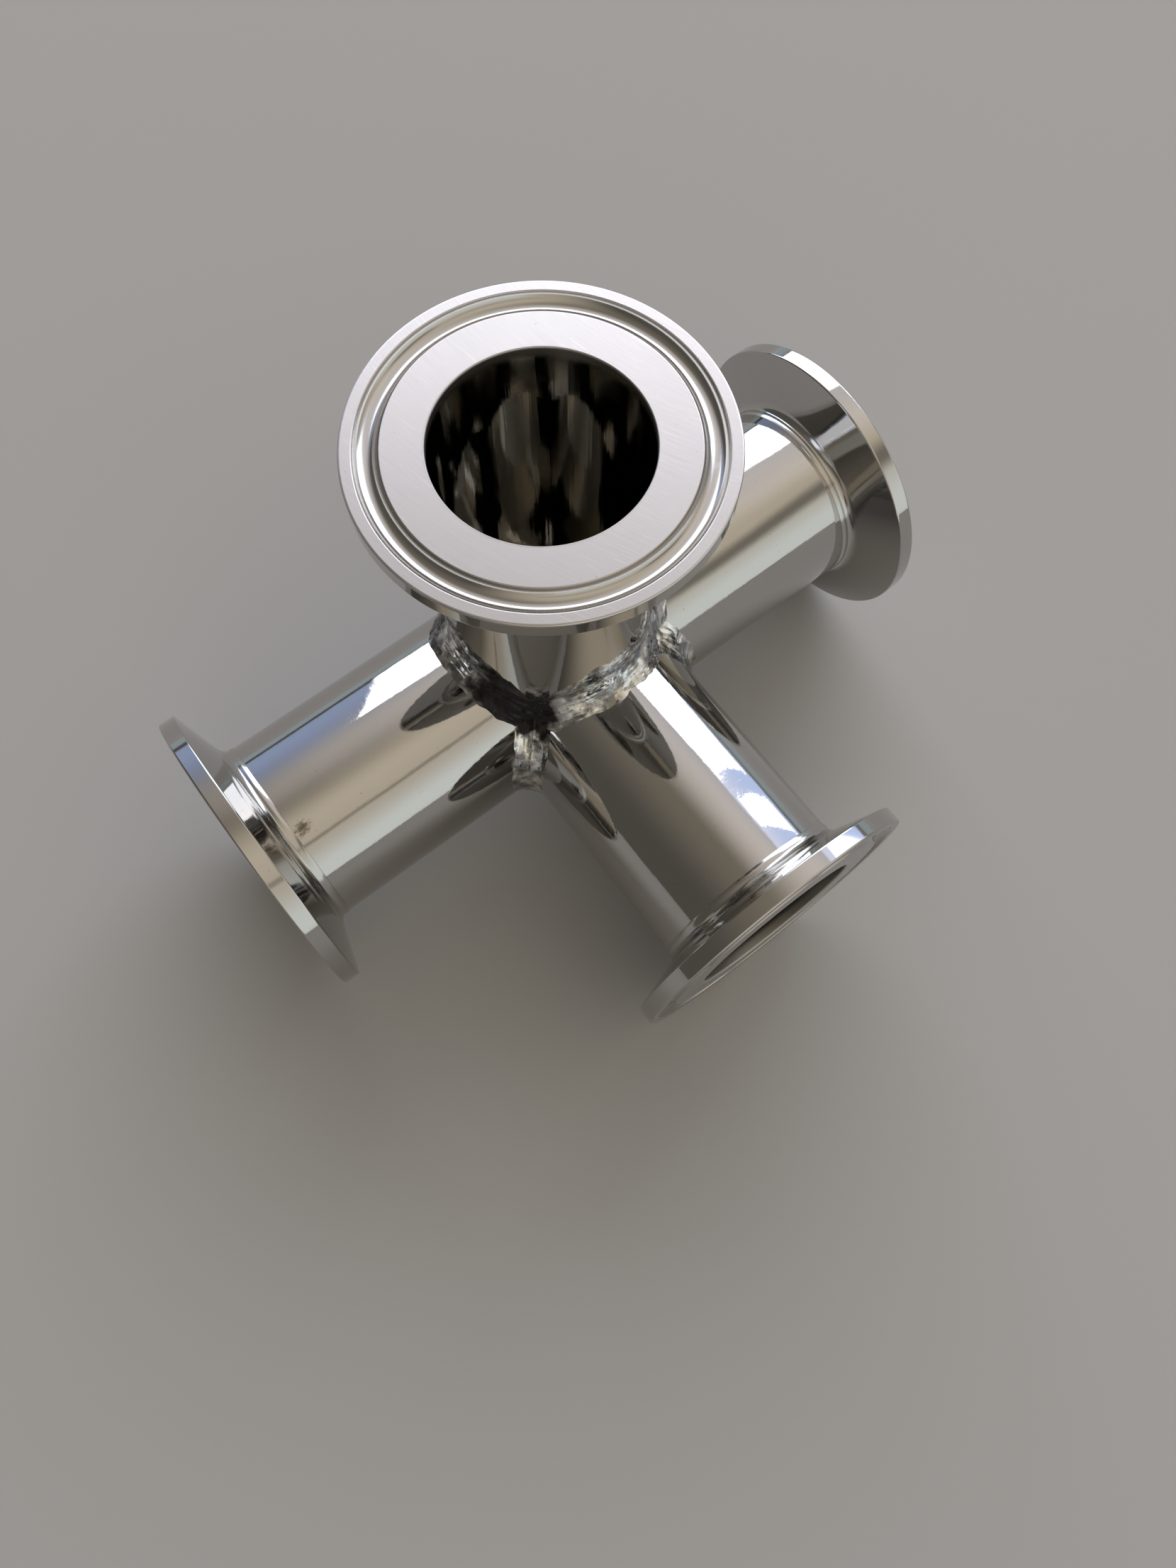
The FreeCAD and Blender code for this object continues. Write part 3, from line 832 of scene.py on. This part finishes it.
class FITTING_OT_ring_welds(bpy.types.Operator):
    """Lay the polished ring of weld between each ferrule and its tube"""

    bl_idname = "fitting.ring_welds"
    bl_label = "Ring welds"

    def execute(self, context):
        sizes = context.scene.fitting_sizes
        level = 0.97
        swing = 0.06
        for number, (port, turn) in enumerate(TURNS.items(), start=1):
            polish = bpy.data.materials[f"ferrule_polish_{number}"]
            points, faces = lathe(ring_outline(sizes), sizes.facets)
            for point in points:
                angle = math.atan2(point[1], point[0])
                radius = math.hypot(point[0], point[1])
                rise = max(0.0, radius - sizes.tube_radius)
                wave = noise.noise(Vector((math.cos(angle), math.sin(angle), number)) * 2.0)
                keep = level + swing * wave
                scale = (radius - rise * (1 - keep)) / radius
                point[0] *= scale
                point[1] *= scale
            piece = add_piece(f"{port}_ring_weld", points, faces, polish, turn)
            ride_for(piece, f"{port}_ferrule_weld")
        return {"FINISHED"}


# Hub welds

def seam_rise(along_gap, sine, leg, crown):
    """How far a bead stands off the tubes at a distance from its seam. sine is
    0 in the middle of the seam and 1 where the tubes run into each other. Past the
    bead's edge the rise falls below 0."""
    sine = np.clip(sine, -1, 1)
    cosine = np.sqrt(1 - sine * sine)
    reach = leg * np.sqrt(1 + sine * sine)
    share = along_gap / reach
    flatness = 0.45
    fall = 1.2 * MM
    deepest = 2.0 * MM
    height = reach * cosine / np.sqrt(1 + cosine * cosine) / (2 - flatness)
    inside = 1 - np.minimum(share, 1)
    rise = height * ((1 - flatness) * inside ** 2 + flatness * inside)
    rise += crown * (1 - np.minimum(share, 1) ** 2)
    return rise - np.minimum(np.maximum(share - 1, 0) * fall, deepest)


def relief(points, across, axis):
    """Uneven surface of a ground bead: low lumps, and strokes along the seam, worked
    out in millimetres. across is the distance from the seam's plane, and axis the
    one that spans the section of the bead's tube together with x."""
    lump_spread = 3.0
    grain_spread = 1.1
    stroke_width = 0.75
    stroke_rise = 1.6
    bead_step = 9.0
    heights = np.zeros(len(points))
    for index, point in enumerate(points):
        spot = Vector(point) / MM
        turn = math.atan2(spot[0], spot[1] + spot[2])
        out = math.hypot(spot[0], spot[axis])
        stroke = Vector((turn * 5.0, across[index] / MM / stroke_width,
                         out / stroke_rise + bead_step * axis))
        lump = 0.15 * noise.noise(spot / lump_spread)
        grain = 0.08 * noise.noise(spot / grain_spread)
        heights[index] = (lump + grain + 0.10 * noise.noise(stroke)) * MM
    return heights


def edge_waver(direction):
    """How much wider than even a bead is in a direction from the hub centre."""
    spot = Vector(direction)
    slow = 0.14 * noise.noise(spot * 5.0)
    quick = 0.12 * noise.noise(spot * 15.0)
    return 1 + slow + quick


def hub_surface(directions, sizes):
    """Radius of the tubes' skin in each direction from the hub centre, and how
    far the beads stand above it: the riser's bead and the branch's. The point at
    which both mitres of a seam would meet is rounded off."""
    x, y, z = directions.T
    radius = sizes.tube_radius
    tiny = 1e-9
    run = radius / np.sqrt(y * y + z * z + tiny)
    riser = np.where(z > 0, radius / np.sqrt(x * x + y * y + tiny), 0)
    branch = np.where(y < 0, radius / np.sqrt(x * x + z * z + tiny), 0)
    skin = np.maximum(np.maximum(run, riser), branch)
    points = directions * skin[:, None]
    px, py, pz = points.T
    rounding = 1.4 * MM
    beside_seam = 6.0 * MM
    hub_reach = 40.0 * MM
    side = np.sqrt(px * px + rounding * rounding)
    leg = np.full_like(skin, sizes.bead_leg)
    close = np.minimum(np.minimum(np.abs(pz - side), np.abs(pz + py)), np.abs(-py - side))
    near = (close < beside_seam) & (skin < hub_reach)
    leg[near] *= np.array([edge_waver(direction) for direction in directions[near]])
    far_below = np.full_like(skin, -2.0 * MM)
    riser_run = seam_rise(np.abs(pz - side), py / radius, leg, sizes.bead_crown)
    riser_branch = seam_rise(np.abs(pz + py), px / radius, leg, sizes.bead_crown)
    branch_run = seam_rise(np.abs(-py - side), pz / radius, leg, sizes.bead_crown)
    on_riser = riser >= skin - tiny
    on_branch = branch >= skin - tiny
    on_run = run >= skin - tiny
    riser_run = np.where(on_riser | on_run, riser_run, far_below)
    riser_branch = np.where(on_riser | on_branch, riser_branch, far_below)
    branch_run = np.where(on_branch | on_run, branch_run, far_below)
    corner_blend = 0.8 * MM
    riser_bead = smooth_max(riser_run, riser_branch, corner_blend)
    branch_bead = branch_run.copy()
    across = np.where(riser_run > riser_branch, pz - side, pz + py)
    for bead, gap, axis in ((riser_bead, across, 1), (branch_bead, -py - side, 2)):
        band = near & (bead > 0)
        fade = 0.3 * MM
        bead[band] += relief(points[band], gap[band], axis) * np.clip(bead[band] / fade, 0, 1)
    return skin, riser_bead, branch_bead


def cube_directions(count):
    """Unit directions on a cube's six faces, evenly spread, and their faces."""
    steps = np.tan(np.linspace(-math.pi / 4, math.pi / 4, count + 1))
    u, v = np.meshgrid(steps, steps, indexing="ij")
    one = np.ones_like(u)
    sides = [(one, u, v), (-one, v, u), (v, one, u), (u, -one, v), (u, v, one), (v, u, -one)]
    directions = np.concatenate([np.stack(side, -1).reshape(-1, 3) for side in sides])
    directions /= np.linalg.norm(directions, axis=1)[:, None]
    faces = []
    for number in range(len(sides)):
        faces += grid_faces(count + 1, count + 1, start=number * (count + 1) ** 2)
    return directions, np.array(faces)


def bead_shell(directions, faces, outer, inner, keep):
    """A closed shell over the kept faces, between two radii. Points on the cube's
    edges, where its sides meet, are joined."""
    faces = faces[keep]
    used, small = np.unique(faces, return_inverse=True)
    small = small.reshape(faces.shape)
    fineness = 1e6
    order = np.round(directions[used] * fineness).astype(np.int64)
    _, first, same = np.unique(order, axis=0, return_index=True, return_inverse=True)
    same = same.reshape(-1)
    small = same[small]
    source = used[first]
    top = directions[source] * outer[source][:, None]
    bottom = directions[source] * inner[source][:, None]
    count = len(source)
    edges = {}
    for face in small:
        for index in range(4):
            edges[int(face[index]), int(face[(index + 1) % 4])] = True
    walls = [(end, start, start + count, end + count)
             for start, end in edges if (end, start) not in edges]
    top_faces = [tuple(int(i) for i in face) for face in small]
    bottom_faces = [tuple(int(i) + count for i in face[::-1]) for face in small]
    return np.concatenate((top, bottom)), top_faces + bottom_faces + walls


class FITTING_OT_hub_welds(bpy.types.Operator):
    """Lay the uneven beads along the seams of the hub"""

    bl_idname = "fitting.hub_welds"
    bl_label = "Hub welds"

    def execute(self, context):
        squares = 190
        overlap = 0.04 * MM
        edge = 0.12 * MM
        skirt = 0.24 * MM
        seat = 0.6 * MM
        sizes = context.scene.fitting_sizes
        directions, faces = cube_directions(squares)
        skin, riser_bead, branch_bead = hub_surface(directions, sizes)
        covered = riser_bead > branch_bead + overlap
        # Each hub weld gets its own patches of painted shade
        for name, node, port, rise, hidden, shade_patches in (
                ("riser_hub_weld", "riser_weld", "top", riser_bead,
                 ~covered & (branch_bead > 0), RISER_PAINTED_SHADES),
                ("branch_hub_weld", "branch_weld", "front", branch_bead,
                 covered & (riser_bead > 0), BRANCH_PAINTED_SHADES)):
            wanted = (rise > -edge) & ~hidden
            keep = wanted[faces].any(axis=1) & (rise > -skirt)[faces].all(axis=1)
            points, shell = bead_shell(directions, faces, skin + rise, skin - seat, keep)
            turn = TURNS[port]
            local = points @ np.array(turn.to_3x3())
            polish = weld_polish(context.scene.fitting_looks, name + "_polish", shade_patches)
            piece = add_piece(name, local, shell, polish, turn, SHARP_WELD_EDGE)
            ride_for(piece, node)
        return {"FINISHED"}


# Stage

def window_panel(name, azimuth, spread, low, high, lean, brightness):
    """A soft panel of light that faces the fitting. Its place and size are given
    in degrees as seen from there, and it leans to one side."""
    width = 2 * PANE_DISTANCE * math.tan(math.radians(spread / 2))
    bottom = PANE_DISTANCE * math.tan(math.radians(low))
    top = PANE_DISTANCE * math.tan(math.radians(high))
    data = bpy.data.lights.new(name, "AREA")
    data.shape = "RECTANGLE"
    data.size = width
    data.size_y = top - bottom
    data.energy = brightness * math.pi * width * (top - bottom)
    data.color = PANE_COLOUR
    lamp = bpy.data.objects.new(name, data)
    bpy.context.scene.collection.objects.link(lamp)
    turn = math.radians(azimuth)
    outward = Vector((math.sin(turn), -math.cos(turn), 0))
    lamp.location = outward * PANE_DISTANCE + Vector((0, 0, (bottom + top) / 2))
    lamp.rotation_mode = "QUATERNION"
    lamp.rotation_quaternion = outward.to_track_quat("Z", "Y") @ Quaternion(
        (0, 0, 1), math.radians(lean))
    lamp.visible_camera = False


def wall_patch(turn, rise, sides, heights, soft):
    """1 on part of the room's walls, given in degrees, and 0 off it."""
    across = turn.ramp(sides[0] - soft, sides[0] + soft) * turn.ramp(
        sides[1] + soft, sides[1] - soft)
    upright = rise.ramp(heights[0] - soft, heights[0] + soft) * rise.ramp(
        heights[1] + soft, heights[1] - soft)
    return across * upright


def room_world(looks):
    """A plain room around the fitting: a pale wall in front, windows on the right
    with a glow above them, cool curtains beside them, and a dark left side. Its
    patches are given in degrees, counted as the window panes are."""
    world = bpy.data.worlds.new("room")
    bpy.context.scene.world = world
    world.use_nodes = True
    nodes = Nodes(world.node_tree)
    place = nodes.add("TexCoord").out("Generated")
    x, y, z = nodes.split(place)
    degrees = 180 / math.pi
    quarter = 90.0
    turn = nodes.turn(y, x) * degrees + quarter
    rise = z.math("ARCSINE") * degrees
    front = nodes.facing(place, FRONT_WALL).ramp(0.10, 0.70)
    glow = nodes.facing(place, GLOW).ramp(0.62, 1.02)
    low_front = wall_patch(turn, rise, (-30, 60), (-4, 60), 8) * rise.ramp(48, 10)
    cornice = wall_patch(turn, rise, (-40, 16), (43, 47), 1.5) * 0.5
    doorway = wall_patch(turn, rise, (24, 56), (34, 46), 5) * 0.75
    beside = wall_patch(turn, rise, (92, 187), (10, 80), 1.2) * rise.ramp(62, 18)
    between = wall_patch(turn, rise, (92, 106), (10, 47), 1.2)
    below = wall_patch(turn, rise, (92, 190), (-4, 6), 1.2)
    nothing = (0, 0, 0, 1)
    colour = nodes.mix(front, opaque(looks.room_dark), opaque(looks.room_light))
    for share, light in ((rise.ramp(25, 80), looks.ceiling), (glow, looks.ceiling_glow),
                         (low_front, looks.front_light)):
        colour = nodes.mix(1.0, colour, nodes.mix(share, nothing, opaque(light)), "ADD")
    for share, light in ((cornice, looks.room_dark), (doorway, looks.room_dark),
                         (beside, looks.curtain)):
        colour = nodes.mix(share, colour, opaque(light))
    colour = nodes.mix(between, colour, opaque(looks.curtain), "ADD")
    colour = nodes.mix(below, colour, opaque(looks.sill))
    background = nodes.add("Background", {}, {"Color": colour, "Strength": 1.0})
    nodes.add("OutputWorld", {}, {"Surface": background.out()})


class FITTING_OT_stage(bpy.types.Operator):
    """Set the camera, the floor, the room and its soft window panels"""

    bl_idname = "fitting.stage"
    bl_label = "Stage"

    def execute(self, context):
        scene = context.scene
        looks = scene.fitting_looks
        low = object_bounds()[0].z
        half = 3.0
        corners = [(-half, -half, low), (half, -half, low), (half, half, low), (-half, half, low)]
        floor = add_piece("floor", corners, [(0, 1, 2, 3)], floor_finish(looks))
        floor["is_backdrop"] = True
        room_world(looks)
        for number, (azimuth, spread, bottom, top, lean) in enumerate(PANES, start=1):
            window_panel(f"window_{number}", azimuth, spread, bottom, top, lean,
                         looks.window_light)
        data = bpy.data.cameras.new("camera")
        data.lens = LENS
        data.sensor_width = SENSOR_WIDTH
        data.clip_start = 0.01
        camera = bpy.data.objects.new("camera", data)
        scene.collection.objects.link(camera)
        camera.matrix_world = Matrix.Translation(Vector(CAMERA_PLACE)) @ turn_to(
            Vector(CAMERA_RIGHT), -Vector(CAMERA_DOWN), -Vector(CAMERA_FORWARD))
        scene.camera = camera
        scene.view_settings.view_transform = "Standard"
        return {"FINISHED"}


# Panel and add-on

class FITTING_PT_panel(bpy.types.Panel):
    """The fitting's sizes, colours and building steps"""

    bl_label = "Four-Way Fitting"
    bl_space_type = "VIEW_3D"
    bl_region_type = "UI"
    bl_category = "Fitting"

    def draw(self, context):
        for group in (context.scene.fitting_sizes, context.scene.fitting_looks):
            box = self.layout.box()
            for name in group.__annotations__:
                box.prop(group, name)
        for step in STEPS:
            self.layout.operator(step.bl_idname)


STEPS = (FITTING_OT_tubes, FITTING_OT_ferrules, FITTING_OT_ring_welds, FITTING_OT_hub_welds,
         FITTING_OT_stage)
CLASSES = (FittingSizes, FittingLooks, *STEPS, FITTING_PT_panel)


def register():
    """Makes the steps known and gives each scene its sizes and looks."""
    for item in CLASSES:
        bpy.utils.register_class(item)
    bpy.types.Scene.fitting_sizes = PointerProperty(type=FittingSizes)
    bpy.types.Scene.fitting_looks = PointerProperty(type=FittingLooks)


def unregister():
    """Takes back what register made known."""
    del bpy.types.Scene.fitting_looks
    del bpy.types.Scene.fitting_sizes
    for item in reversed(CLASSES):
        bpy.utils.unregister_class(item)


def main():
    """Builds everything in order."""
    register()
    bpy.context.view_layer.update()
    bpy.ops.fitting.tubes()
    bpy.ops.fitting.ferrules()
    bpy.ops.fitting.ring_welds()
    bpy.ops.fitting.hub_welds()
    bpy.ops.fitting.stage()


if __name__ == "__main__":
    main()
